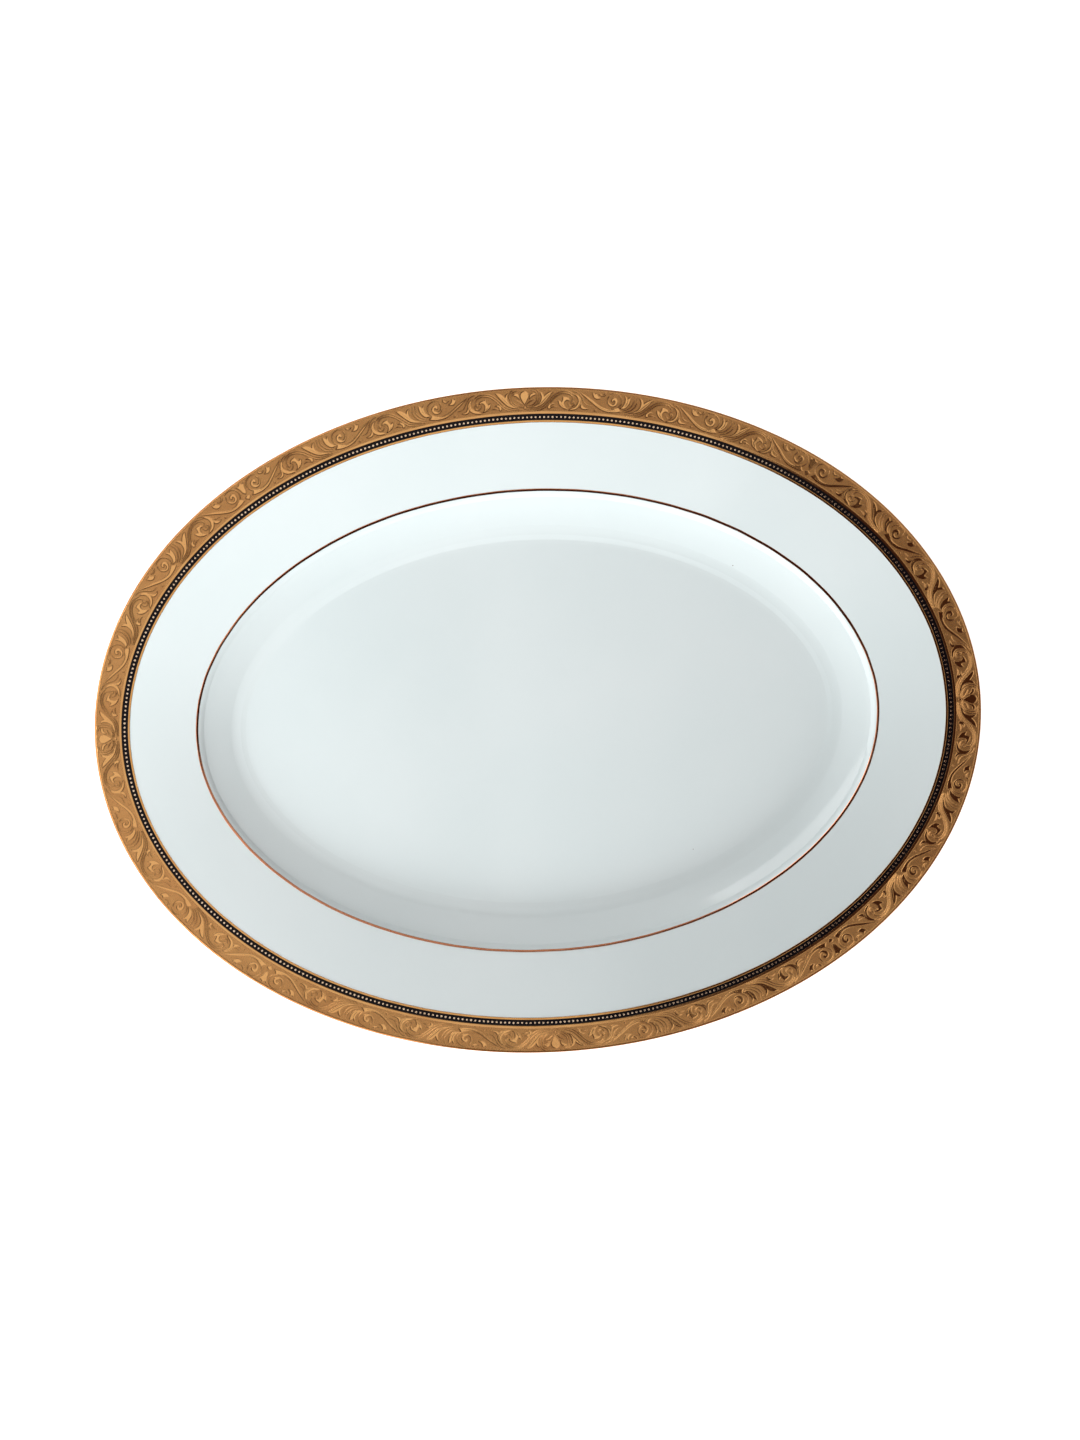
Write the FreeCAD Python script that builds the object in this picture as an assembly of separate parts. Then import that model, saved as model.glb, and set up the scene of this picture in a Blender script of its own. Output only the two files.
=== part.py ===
# Oval china serving platter with an etched gold border, a black enamel band and gold lines.
#
# Frame: the origin is the middle of the platter on the surface that it stands on.
# +X runs along the length, +Y across the width and +Z up. All sizes are in millimetres.
#
# The platter is one moulded and fired body. Everything else is a coat that is laid on it and fired
# in its turn: the glaze, the gold, the black enamel and the gold beads. Each coat is its own node
# and meets the one below it face to face.
#
# A section is drawn in two numbers: "inset", the distance inward from the edge of the china, and
# the height z. The plan is an oval of eight arcs, and every line of the platter runs parallel to it.
import FreeCAD, Part
import math
import os
from FreeCAD import Vector

# ---- overall size ----
length = 360.0
width = 270.0
height = 27.0

# ---- plan: an oval of eight tangent arcs, close to a true ellipse ----
end_arc_angle = 35.06          # the end arcs reach this far each side of the long axis, degrees
side_arc_angle = 65.03         # the side arcs start at this angle from the long axis, degrees
corner_radius_share = 0.883    # radius of the four arcs between them, as a share of half the length

# ---- thickness of the coats ----
glaze = 0.25
gilding = 0.12
enamel = 0.12
etched_gold = 0.20

# ---- section of the glazed platter ----
rim_slope = math.radians(13.5)
lip_thickness = 3.4
lip_top_radius = 0.9
lip_under_radius = 1.6
verge_inset = 42.3             # where the rim turns down into the well
verge_radius = 6.0
wall_slope = math.radians(50.0)
well_floor = 7.0
cavetto_radius = 23.8          # the sweep from the wall into the floor
under_verge = (43.4, 12.2, 8.0)     # corners of the underside, as (inset, z, radius)
under_wall = (50.8, 3.7, 16.0)
under_foot = (58.2, 2.9, 1.0)
under_floor = 2.2
foot_outer_inset = 58.7
foot_inner_inset = 62.1
foot_draft = 0.4
foot_edge_radius = 1.2
foot_root_radius = 1.0
glaze_stop = 0.8               # the glaze is wiped off the foot below this height
foot_reach = 3.0               # the wiping reaches this far past each side of the foot
plate_inset = 76.0             # inside this oval the floor is a flat plate
window_margin = 1.0            # windows that cut a section reach this far past the platter

# ---- bands of the border, by inset ----
lip_gilding_inset = 0.6
lip_gilding_drop = 1.9         # how far the gold runs down the outside of the lip
etched_band_inset = 9.7
outer_line_inset = 10.75
black_band_inset = 13.2
inner_line_inset = 14.1
verge_line = (40.5, 41.5)

# ---- gold beads on the black band: low drops of raised gold ----
bead_count = 532
bead_radius = 0.40
bead_top_radius = 0.28
bead_height = 0.12


# ---- plan ----

half_length = length / 2 - gilding
half_width = width / 2 - gilding


def oval_radii():
    """Radii of the end, corner and side arcs of the edge of the china."""
    cos_end = math.cos(math.radians(end_arc_angle))
    sin_end = math.sin(math.radians(end_arc_angle))
    cos_side = math.cos(math.radians(side_arc_angle))
    sin_side = math.sin(math.radians(side_arc_angle))
    corner = corner_radius_share * half_length
    # The three arcs of a quarter add up to half the length along X and half the width along Y.
    along = half_length - corner * (cos_end - cos_side)
    across = half_width - corner * (sin_side - sin_end)
    divisor = (1 - cos_end) * (1 - sin_side) - cos_side * sin_end
    end = (along * (1 - sin_side) - across * cos_side) / divisor
    side = (across * (1 - cos_end) - along * sin_end) / divisor
    return end, corner, side


def oval_arcs():
    """The eight arcs, counter-clockwise from the +X end: centre, radius, first and last angle."""
    end, corner, side = oval_radii()
    angle = math.radians(end_arc_angle)
    end_centre = Vector(half_length - end, 0, 0)
    corner_centre = end_centre - Vector(math.cos(angle), math.sin(angle), 0) * (corner - end)
    side_centre = Vector(0, half_width - side, 0)

    def mirrored(centre, sign_x, sign_y):
        return Vector(centre.x * sign_x, centre.y * sign_y, 0)

    first = end_arc_angle
    second = side_arc_angle
    return [
        (end_centre, end, -first, first),
        (corner_centre, corner, first, second),
        (side_centre, side, second, 180 - second),
        (mirrored(corner_centre, -1, 1), corner, 180 - second, 180 - first),
        (mirrored(end_centre, -1, 1), end, 180 - first, 180 + first),
        (mirrored(corner_centre, -1, -1), corner, 180 + first, 180 + second),
        (mirrored(side_centre, 1, -1), side, 180 + second, 360 - second),
        (mirrored(corner_centre, 1, -1), corner, 360 - second, 360 - first),
    ]


def oval_face(inset, z):
    """Flat face inside the oval that lies `inset` inward from the edge."""
    edges = []
    for centre, radius, first, last in oval_arcs():
        circle = Part.Circle(centre + Vector(0, 0, z), Vector(0, 0, 1), radius - inset)
        edges.append(circle.toShape(math.radians(first), math.radians(last)))
    return Part.Face(Part.Wire(edges))


# ---- sections ----

def rim_top(inset):
    """Height of the glazed rim, where it is straight."""
    rounding = lip_top_radius * (math.tan(rim_slope) + 1 / math.cos(rim_slope) - 1)
    return height - etched_gold + rounding - inset * math.tan(rim_slope)


def glazed_corners():
    """Corners of the glazed section, with the radius that rounds each of them."""
    wall_run = (rim_top(verge_inset) - well_floor) / math.tan(wall_slope)
    return [
        (plate_inset, well_floor, 0),
        (verge_inset + wall_run, well_floor, cavetto_radius),
        (verge_inset, rim_top(verge_inset), verge_radius),
        (0, rim_top(0), lip_top_radius),
        (0, rim_top(0) - lip_thickness, lip_under_radius),
        under_verge,
        under_wall,
        under_foot,
        (foot_outer_inset, -glaze, foot_edge_radius),
        (foot_inner_inset, -glaze, foot_edge_radius),
        (foot_inner_inset + foot_draft, under_floor, foot_root_radius),
        (plate_inset, under_floor, 0),
    ]


def moved_corners(corners, depth):
    """The corners after every side but the last one moves inward by `depth`."""
    count = len(corners)
    sides = []
    for i in range(count):
        start = Vector(corners[i][0], corners[i][1], 0)
        end = Vector(corners[(i + 1) % count][0], corners[(i + 1) % count][1], 0)
        along = (end - start).normalize()
        inward = Vector(-along.y, along.x, 0)
        shift = depth if i < count - 1 else 0
        sides.append((start + inward * shift, along))
    moved = []
    for i in range(count):
        before, before_along = sides[i - 1]
        after, after_along = sides[i]
        cross = before_along.cross(after_along).z
        reach = (after - before).cross(after_along).z / cross
        point = before + before_along * reach
        radius = corners[i][2]
        if radius > 0:
            radius += -depth if cross > 0 else depth
        moved.append((point, radius))
    return moved


def section_face(depth):
    """Section of the platter `depth` under its glazed surface, drawn in XZ at x = -inset."""
    corners = moved_corners(glazed_corners(), depth)
    edges = []
    last_end = None
    first_start = None
    count = len(corners)
    for i in range(count):
        point, radius = corners[i]
        to_before = (corners[i - 1][0] - point).normalize()
        to_after = (corners[(i + 1) % count][0] - point).normalize()
        half_angle = to_before.getAngle(to_after) / 2
        setback = radius / math.tan(half_angle)
        start = point + to_before * setback
        end = point + to_after * setback
        if last_end is not None:
            edges.append(Part.makeLine(in_section(last_end), in_section(start)))
        if first_start is None:
            first_start = start
        if radius > 0:
            middle_way = (to_before + to_after).normalize()
            middle = point + middle_way * (radius / math.sin(half_angle) - radius)
            arc = Part.Arc(in_section(start), in_section(middle), in_section(end))
            edges.append(arc.toShape())
        last_end = end
    edges.append(Part.makeLine(in_section(last_end), in_section(first_start)))
    return Part.Face(Part.Wire(edges))


def in_section(point):
    """Place an (inset, z) point in the section's drawing plane."""
    return Vector(-point.x, 0, point.y)


def window(inset_from, inset_to, z_from, z_to):
    """Rectangle of the section between two insets and two heights."""
    corners = [
        Vector(-inset_from, 0, z_from),
        Vector(-inset_to, 0, z_from),
        Vector(-inset_to, 0, z_to),
        Vector(-inset_from, 0, z_to),
    ]
    return Part.Face(Part.makePolygon(corners + corners[:1]))


def film_section(thickness, inset_from, inset_to, z_from=0):
    """Section of a film that lies on the upper side of the glaze between two insets."""
    film = section_face(-thickness).cut(section_face(0))
    film = film.common(window(inset_from, inset_to, z_from, height + window_margin))
    return max(film.Faces, key=lambda face: face.BoundBox.ZMax)


# ---- solids ----

def swept_ring(section):
    """Sweep a section once around the oval."""
    wedges = []
    for centre, radius, first, last in oval_arcs():
        face = section.copy()
        face.translate(Vector(radius, 0, 0))
        face.rotate(Vector(0, 0, 0), Vector(0, 0, 1), first)
        face.translate(centre)
        wedges.append(face.revolve(centre, Vector(0, 0, 1), last - first))
    ring = wedges[0].fuse(wedges[1:])
    return ring.removeSplitter()


def one_solid(shape):
    """The single solid that a shape must hold."""
    if len(shape.Solids) != 1:
        raise ValueError("expected one solid, found %d" % len(shape.Solids))
    return shape.Solids[0]


def with_plate(ring, z_from, z_to):
    """Close the middle of a ring with a flat oval plate."""
    plate = oval_face(plate_inset, z_from).extrude(Vector(0, 0, z_to - z_from))
    return one_solid(ring.fuse(plate).removeSplitter())


def china_body():
    """The fired body: rim, lip, well, floor and foot ring."""
    ring = swept_ring(section_face(glaze))
    return with_plate(ring, under_floor + glaze, well_floor - glaze)


def glaze_sections():
    """Sections of the coat on the base inside the foot and of the coat outside it."""
    coat = section_face(0).cut(section_face(glaze))
    wiped = window(foot_outer_inset - foot_reach, foot_inner_inset + foot_reach,
                   -window_margin, glaze_stop)
    inside, outside = sorted(coat.cut(wiped).Faces, key=lambda face: face.BoundBox.ZMax)
    return inside, outside


def glaze_coat():
    """Clear glaze over the face, round the lip and down the underside to the foot."""
    outside = glaze_sections()[1]
    return with_plate(swept_ring(outside), well_floor - glaze, well_floor)


def base_glaze():
    """Clear glaze on the base, inside the foot ring."""
    inside = glaze_sections()[0]
    return with_plate(swept_ring(inside), under_floor, under_floor + glaze)


def lip_gilding():
    """Burnished gold over the edge of the lip."""
    lowest = height - lip_gilding_drop
    section = film_section(gilding, -window_margin, lip_gilding_inset, lowest)
    return one_solid(swept_ring(section))


def film_ring(thickness, inset_from, inset_to):
    """A film between two insets, once around the platter."""
    return one_solid(swept_ring(film_section(thickness, inset_from, inset_to)))


def oval_point(inset, travelled):
    """Point and outward angle after a distance along the oval at `inset`."""
    for centre, radius, first, last in oval_arcs():
        arc_length = (radius - inset) * math.radians(last - first)
        if travelled <= arc_length:
            angle = math.radians(first) + travelled / (radius - inset)
            outward = Vector(math.cos(angle), math.sin(angle), 0)
            return centre + outward * (radius - inset), math.degrees(angle)
        travelled -= arc_length
    raise ValueError("the distance is more than once around")


def oval_length(inset):
    """Length once around the oval at `inset`."""
    return sum((radius - inset) * math.radians(last - first)
               for centre, radius, first, last in oval_arcs())


def bead():
    """One low drop of gold with a flat top, its base at the origin."""
    return Part.makeCone(bead_radius, bead_top_radius, bead_height)


def bead_row():
    """Gold beads in one row along the middle of the black band."""
    inset = (outer_line_inset + black_band_inset) / 2
    pitch = oval_length(inset) / bead_count
    seat_z = rim_top(inset) + enamel / math.cos(rim_slope)
    drop = bead()
    beads = []
    for number in range(bead_count):
        point, angle = oval_point(inset, (number + 0.5) * pitch)
        placed = drop.copy()
        placed.rotate(Vector(0, 0, 0), Vector(0, 1, 0), -math.degrees(rim_slope))
        placed.rotate(Vector(0, 0, 0), Vector(0, 0, 1), angle)
        placed.translate(Vector(point.x, point.y, seat_z))
        beads.append(placed)
    return Part.makeCompound(beads)


def nodes():
    """Every node of the platter by name."""
    return {
        "china_body": china_body(),
        "glaze_coat": glaze_coat(),
        "base_glaze": base_glaze(),
        "lip_gilding": lip_gilding(),
        "etched_gold_band": film_ring(etched_gold, lip_gilding_inset, etched_band_inset),
        "gold_line_outer": film_ring(gilding, etched_band_inset, outer_line_inset),
        "black_enamel_band": film_ring(enamel, outer_line_inset, black_band_inset),
        "bead_row": bead_row(),
        "gold_line_inner": film_ring(gilding, black_band_inset, inner_line_inset),
        "verge_gold_line": film_ring(gilding, verge_line[0], verge_line[1]),
    }


os.makedirs("parts", exist_ok=True)
for name, shape in nodes().items():
    shape.exportStep(os.path.join("parts", name + ".step"))
    box = shape.optimalBoundingBox()
    print("%-18s %3d solids  x %.2f  y %.2f  z %.2f..%.2f  %.0f mm3  valid %s" % (
        name, len(shape.Solids), box.XLength, box.YLength, box.ZMin, box.ZMax,
        shape.Volume, shape.isValid()))
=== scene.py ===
# Looks of the oval china serving platter: a white glazed body with an etched gold border.
#
# Sizes are in millimetres and go to metres when a mesh is made. "inset" is the distance inward from
# the edge of the glazed china, in plan, and every band runs parallel to that edge, a true ellipse.
# A section is a line of (inset, z) points, and "around" is the place along the edge, from 0 to 1.
import math

import bmesh
import bpy
import numpy as np
from mathutils import Matrix, Vector


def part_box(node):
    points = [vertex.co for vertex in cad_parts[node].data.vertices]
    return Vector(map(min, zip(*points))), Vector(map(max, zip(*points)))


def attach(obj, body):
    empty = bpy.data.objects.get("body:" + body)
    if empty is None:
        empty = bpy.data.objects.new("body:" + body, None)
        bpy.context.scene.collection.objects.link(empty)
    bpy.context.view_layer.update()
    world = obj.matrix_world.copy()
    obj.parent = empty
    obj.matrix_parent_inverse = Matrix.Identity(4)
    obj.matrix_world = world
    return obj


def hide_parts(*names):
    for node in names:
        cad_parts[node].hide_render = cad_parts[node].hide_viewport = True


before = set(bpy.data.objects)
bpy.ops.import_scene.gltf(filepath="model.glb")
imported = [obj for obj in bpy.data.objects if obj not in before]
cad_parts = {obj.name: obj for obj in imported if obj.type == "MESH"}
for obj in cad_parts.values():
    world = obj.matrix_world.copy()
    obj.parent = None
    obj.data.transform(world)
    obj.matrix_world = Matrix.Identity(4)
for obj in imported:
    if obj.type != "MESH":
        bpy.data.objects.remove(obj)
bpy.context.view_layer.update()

MM = 0.001
TAU = 2 * math.pi
SEED = 7

for name in ("Cube", "Light", "Camera"):
    if name in bpy.data.objects:
        bpy.data.objects.remove(bpy.data.objects[name])


# ---- sizes ----

def reach(node):
    """Half length, half width, lowest and highest z of a node, in mm."""
    low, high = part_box(node)
    return high[0] / MM, high[1] / MM, low[2] / MM, high[2] / MM


EDGE_X, EDGE_Y, GLAZE_STOP, GLAZE_TOP = reach("glaze_coat")


def outer_inset(node):
    """Inset of the outer side of a node's band."""
    return EDGE_X - reach(node)[0]


GLAZE = outer_inset("china_body")
ETCHED_OUT = outer_inset("etched_gold_band")
ETCHED_IN = outer_inset("gold_line_outer")
BLACK_OUT = outer_inset("black_enamel_band")
BLACK_IN = outer_inset("gold_line_inner")
INNER_LINE_IN = BLACK_IN + 0.9   # the inner gold line is 0.9 wide
VERGE_LINE_OUT = outer_inset("verge_gold_line")
VERGE_LINE_IN = VERGE_LINE_OUT + 1.0
BEAD_INSET = (BLACK_OUT + BLACK_IN) / 2
GILDING = reach("lip_gilding")[0] - EDGE_X
GILDING_LOW = reach("lip_gilding")[2]

RIM_SLOPE = math.radians(13.5)
WALL_SLOPE = math.radians(50)
LIP_RADIUS = 0.9
LIP_THICKNESS = 3.4
VERGE_INSET = 42.3
VERGE_RADIUS = 6.0
CAVETTO_RADIUS = 23.8
WELL_FLOOR = 7.0
BASE_Z = reach("base_glaze")[3] - GLAZE
SWEPT_TO = 76.0                  # inset where the sweep ends and the middle of the floor begins

FILM = 0.07                      # thickness of the black band and the line at the verge
THICK_FILM = 1.4 * FILM          # thickness of the two gold lines beside the black band
FILM_SUNK = 0.05                 # how far the under side of a film lies in the glaze
FIELD_LIFT = 0.06                # thickness of the gold under the etched ground
LIP_OVERLAP = 0.05               # how far the lip's gold reaches under the etched band
LINE_OVERLAP = 0.04              # how far a gold line reaches under the etched band
BLACK_OVERLAP = 0.12             # how far the black band reaches under each gold line
BEAD_COUNT = 532
BEAD_RADIUS = 0.43
BEAD_HEIGHT = 0.065
BEAD_SUNK = 0.035                # the foot of a bead lies this deep in the black band

SKIN_SPACING = 0.2               # between points on the straight runs of the section
SKIN_ARC_STEP = math.radians(3)  # between points on its roundings
EDGE_STEPS = 8192
BODY_COLUMNS = 320
GLAZE_COLUMNS = 340
BASE_COLUMNS = 480
BAND_COLUMNS = 1440
MIDDLE_RINGS = 14                # rings from the sweep to the middle of the floor


# ---- plan ----

def edge_table():
    """Angle parameter of the edge ellipse against the distance travelled around it."""
    t = np.linspace(0, TAU, EDGE_STEPS + 1)
    steps = np.hypot(np.diff(EDGE_X * np.cos(t)), np.diff(EDGE_Y * np.sin(t)))
    return t, np.concatenate([[0], np.cumsum(steps)])


EDGE_T, EDGE_S = edge_table()
EDGE_LENGTH = EDGE_S[-1]


def edge_at(around):
    """Points on the edge and outward directions there, for an array of places around it."""
    t = np.interp(np.mod(around, 1) * EDGE_LENGTH, EDGE_S, EDGE_T)
    points = np.stack([EDGE_X * np.cos(t), EDGE_Y * np.sin(t)], -1)
    normals = np.stack([EDGE_Y * np.cos(t), EDGE_X * np.sin(t)], -1)
    return points, normals / np.linalg.norm(normals, axis=-1, keepdims=True)


FREE_HEIGHT = 12                 # below this height the foot holds the china ever flatter


def kiln_warp(x, y, z):
    """How far the firing moved the china up or down: a broad bend and a ripple, in mm."""
    bend = 0.10 * np.sin(x / 61 + 0.6) * np.cos(y / 47 + 1.1)
    ripple = 0.035 * np.sin(x / 23 + y / 31 + 2.0) + 0.02 * np.sin(y / 17 - x / 39)
    return (bend + ripple) * np.clip(z / FREE_HEIGHT, 0, 1)


def place(around, inset, z):
    """Points of the platter in mm. The arrays broadcast together."""
    around, inset, z = np.broadcast_arrays(around, inset, z)
    points, normals = edge_at(around)
    plan = points - normals * inset[..., None]
    lifted = z + kiln_warp(plan[..., 0], plan[..., 1], z)
    return np.concatenate([plan, lifted[..., None]], -1)


# ---- section ----

def rim_top(inset):
    """Height of the glazed rim, where it is straight."""
    rounding = LIP_RADIUS * (math.tan(RIM_SLOPE) + 1 / math.cos(RIM_SLOPE) - 1)
    return GLAZE_TOP + rounding - inset * math.tan(RIM_SLOPE)


def skin_corners():
    """Corners of the glazed section as (inset, z, radius of the rounding), face first."""
    wall_run = (rim_top(VERGE_INSET) - WELL_FLOOR) / math.tan(WALL_SLOPE)
    face = [
        (SWEPT_TO, WELL_FLOOR, 0),
        (VERGE_INSET + wall_run, WELL_FLOOR, CAVETTO_RADIUS),
        (VERGE_INSET, rim_top(VERGE_INSET), VERGE_RADIUS),
        (0, rim_top(0), LIP_RADIUS),
    ]
    underside = [
        (0, rim_top(0) - LIP_THICKNESS, 1.6),
        (43.4, 12.2, 8.0),
        (50.8, 3.7, 16.0),
    ]
    foot = [
        (58.2, 2.9, 1.0),
        (58.7, -GLAZE, 1.2),
        (62.1, -GLAZE, 1.2),
        (62.5, BASE_Z, 1.0),
        (SWEPT_TO, BASE_Z, 0),
    ]
    return face + underside + foot


def rounded_line(corners):
    """Open line through the corners, each rounded by its radius, as (inset, z) points."""
    points = [np.array(corners[0][:2], float)]
    for before, corner, after in zip(corners, corners[1:], corners[2:]):
        middle = np.array(corner[:2], float)
        back = np.array(before[:2], float) - middle
        ahead = np.array(after[:2], float) - middle
        back /= np.linalg.norm(back)
        ahead /= np.linalg.norm(ahead)
        half_angle = math.acos(np.clip(back @ ahead, -1, 1)) / 2
        turn = math.pi - 2 * half_angle
        arc_start = middle + back * corner[2] / math.tan(half_angle)
        bisector = (back + ahead) / np.linalg.norm(back + ahead)
        centre = middle + bisector * corner[2] / math.sin(half_angle)
        spoke = arc_start - centre
        sense = math.copysign(1, back[0] * ahead[1] - back[1] * ahead[0])
        add_run(points, arc_start)
        count = max(2, math.ceil(turn / SKIN_ARC_STEP))
        for k in range(1, count + 1):
            angle = -sense * turn * k / count
            cos, sin = math.cos(angle), math.sin(angle)
            points.append(centre + np.array([spoke[0] * cos - spoke[1] * sin,
                                             spoke[0] * sin + spoke[1] * cos]))
    add_run(points, np.array(corners[-1][:2], float))
    return np.array(points)


def add_run(points, end):
    """Straight run of points from the last one to the end."""
    start = points[-1]
    count = max(1, math.ceil(np.linalg.norm(end - start) / SKIN_SPACING))
    for k in range(1, count + 1):
        points.append(start + (end - start) * k / count)


def line_normals(line):
    """Unit directions off a section line, away from the china, for a line that runs face first."""
    along = np.gradient(line, axis=0)
    off = np.stack([along[:, 1], -along[:, 0]], -1)
    return off / np.linalg.norm(off, axis=1, keepdims=True)


# ---- meshes ----

SHARP_EDGE = math.radians(60)


def make_piece(name, points, faces, replaces, material, values=None):
    """One smooth mesh piece from points in mm. `values` holds one number per point, by name."""
    mesh = bpy.data.meshes.new(name)
    mesh.from_pydata((points * MM).tolist(), [], faces)
    mesh.polygons.foreach_set("use_smooth", [True] * len(mesh.polygons))
    for key, numbers in (values or {}).items():
        layer = mesh.attributes.new(key, "FLOAT", "POINT")
        layer.data.foreach_set("value", np.ascontiguousarray(numbers, dtype=np.float32))
    mesh.materials.append(material)
    turn_outward(mesh)
    mesh.set_sharp_from_angle(angle=SHARP_EDGE)
    piece = bpy.data.objects.new(name, mesh)
    bpy.context.scene.collection.objects.link(piece)
    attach(piece, "root")
    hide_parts(*replaces)


def turn_outward(mesh):
    """Turn the faces over if they look into the closed shape."""
    shape = bmesh.new()
    shape.from_mesh(mesh)
    inside_out = shape.calc_volume(signed=True) < 0
    shape.free()
    if inside_out:
        mesh.flip_normals()


def loop_faces(columns, rows):
    """Quads of a tube that closes on itself both around the platter and around its section."""
    column, row = np.meshgrid(np.arange(columns), np.arange(rows), indexing="ij")
    next_column = (column + 1) % columns
    next_row = (row + 1) % rows
    quads = [column * rows + row, next_column * rows + row,
             next_column * rows + next_row, column * rows + next_row]
    return np.stack(quads, -1).reshape(-1, 4).tolist()


def ring_piece(name, loop, replaces, material, wander=None):
    """Sweep a closed section loop once around. `wander` gives an inset shift at each place."""
    around = np.arange(BAND_COLUMNS) / BAND_COLUMNS
    shift = wander(around)[:, None] if wander else np.zeros((BAND_COLUMNS, 1))
    points = place(around[:, None], loop[:, 0] + shift, loop[:, 1] - shift * math.tan(RIM_SLOPE))
    faces = loop_faces(BAND_COLUMNS, len(loop))
    make_piece(name, points.reshape(-1, 3), faces, replaces, material)


def disc_points(line, columns):
    """Points of a surface that ends in the middle: swept rows, shrinking rings and one last point."""
    around = np.arange(columns) / columns
    swept = place(around[:, None], line[None, :, 0], line[None, :, 1])
    share = np.linspace(1, 0, MIDDLE_RINGS + 1)[1:-1]
    rim = swept[:, -1, :2]
    inner = rim[:, None, :] * share[None, :, None]
    flat = line[-1, 1]
    z = flat + kiln_warp(inner[..., 0], inner[..., 1], flat)
    rings = np.concatenate([swept, np.concatenate([inner, z[..., None]], -1)], 1)
    return rings, np.array([[0.0, 0.0, flat + kiln_warp(0.0, 0.0, flat)]])


def disc_faces(columns, rows, start, centre, flip):
    """Faces of one disc_points surface whose points begin at `start`."""
    column, row = np.meshgrid(np.arange(columns), np.arange(rows - 1), indexing="ij")
    next_column = (column + 1) % columns
    quads = np.stack([column * rows + row, next_column * rows + row,
                      next_column * rows + row + 1, column * rows + row + 1], -1)
    quads = quads.reshape(-1, 4) + start
    last = np.arange(columns) * rows + rows - 1 + start
    fan = np.stack([last, np.roll(last, -1), np.full(columns, centre)], -1)
    if flip:
        quads = quads[:, ::-1]
        fan = fan[:, ::-1]
    return quads.tolist() + fan.tolist()


def shell_piece(name, outer, inner, columns, replaces, material):
    """Closed shell between two section lines that both start at one edge and end in the middle."""
    top, top_centre = disc_points(outer, columns)
    under, under_centre = disc_points(inner, columns)
    top_rows = top.shape[1]
    under_rows = under.shape[1]
    top_last = columns * top_rows
    under_start = top_last + 1
    under_last = under_start + columns * under_rows
    points = np.concatenate([top.reshape(-1, 3), top_centre, under.reshape(-1, 3), under_centre])
    faces = disc_faces(columns, top_rows, 0, top_last, False)
    faces += disc_faces(columns, under_rows, under_start, under_last, True)
    edge = np.arange(columns) * top_rows
    under_edge = np.arange(columns) * under_rows + under_start
    wall = np.stack([edge, under_edge, np.roll(under_edge, -1), np.roll(edge, -1)], -1)
    faces += wall.tolist()
    make_piece(name, points, faces, replaces, material)


def quads_between(*corners):
    """Quads from four equal arrays of point numbers."""
    return np.stack([corner.ravel() for corner in corners], -1).tolist()


# ---- body, glaze and plain bands ----

SKIN = rounded_line(skin_corners())
SKIN_OFF = line_normals(SKIN)
LIP = int(np.argmin(SKIN[:, 0]))
FACE_IN = SKIN[:LIP][::-1]                  # the face, from the lip inward
FACE_OFF = SKIN_OFF[:LIP][::-1]


def skin_at(inset):
    """Height of the glazed face at an inset and the two parts of the direction off it."""
    z = np.interp(inset, FACE_IN[:, 0], FACE_IN[:, 1])
    off_in = np.interp(inset, FACE_IN[:, 0], FACE_OFF[:, 0])
    off_z = np.interp(inset, FACE_IN[:, 0], FACE_OFF[:, 1])
    return z, off_in, off_z


def film_loop(path, off, thickness):
    """Closed section of a film on a path: it thins to nothing at its two edges."""
    across = np.linspace(-1, 1, len(path))
    rise = thickness * np.sqrt(1 - np.abs(across) ** 5)
    top = path + off * rise[:, None]
    under = path[::-1] - off[::-1] * FILM_SUNK
    return np.concatenate([top, under])


FILM_ROWS = 12


def face_film(inset_from, inset_to, thickness):
    """Closed section of a film on the face between two insets, finer towards its edges."""
    ease = np.sin(np.linspace(-math.pi / 2, math.pi / 2, FILM_ROWS)) / 2 + 0.5
    inset = inset_from + (inset_to - inset_from) * ease
    z, off_in, off_z = skin_at(inset)
    return film_loop(np.stack([inset, z], -1), np.stack([off_in, off_z], -1), thickness)


WANDER_WAVES = 9


def hand_wander(amount, number):
    """Small drift of a hand-drawn line across its course, the same every run."""
    random = np.random.default_rng(SEED + number)
    waves = random.integers(5, 60, WANDER_WAVES)
    starts = random.uniform(0, TAU, WANDER_WAVES)
    sizes = random.uniform(0.3, 1.0, WANDER_WAVES) / np.sqrt(waves)

    def shift(around):
        """The drift at each place around the platter."""
        total = (sizes * np.sin(TAU * waves * around[:, None] + starts)).sum(1)
        return amount * total

    return shift


def thinned(line, every):
    """Indices of every few points of a line, with its last one."""
    return np.unique(np.append(np.arange(0, len(line), every), len(line) - 1))


def foot_rows():
    """Where the glaze stops on the outer and on the inner side of the foot, as skin indices."""
    low = np.flatnonzero(SKIN[:, 1] < GLAZE_STOP)
    return low[0] - 1, low[-1] + 1


def build_body(material):
    """The fired body under the glaze. Only its foot shows, so only that is fine."""
    outer_stop, inner_stop = foot_rows()
    foot = np.arange(outer_stop - 4, inner_stop + 4)
    picks = np.unique(np.concatenate([thinned(SKIN, 4), foot]))
    line = SKIN[picks] - SKIN_OFF[picks] * GLAZE
    half = len(line) // 2 + 1
    shell_piece("china_body_fired", line[:half][::-1], line[half:], BODY_COLUMNS,
                ["china_body"], material)


def build_glaze(material):
    """Clear glaze over the face, round the lip and down to the foot."""
    outer_stop = foot_rows()[0] + 1
    outer = SKIN[:outer_stop][::-1]
    inner = outer - SKIN_OFF[:outer_stop][::-1] * GLAZE
    shell_piece("glaze_over_body", outer[thinned(outer, 3)], inner[thinned(inner, 16)],
                GLAZE_COLUMNS, ["glaze_coat"], material)


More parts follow.
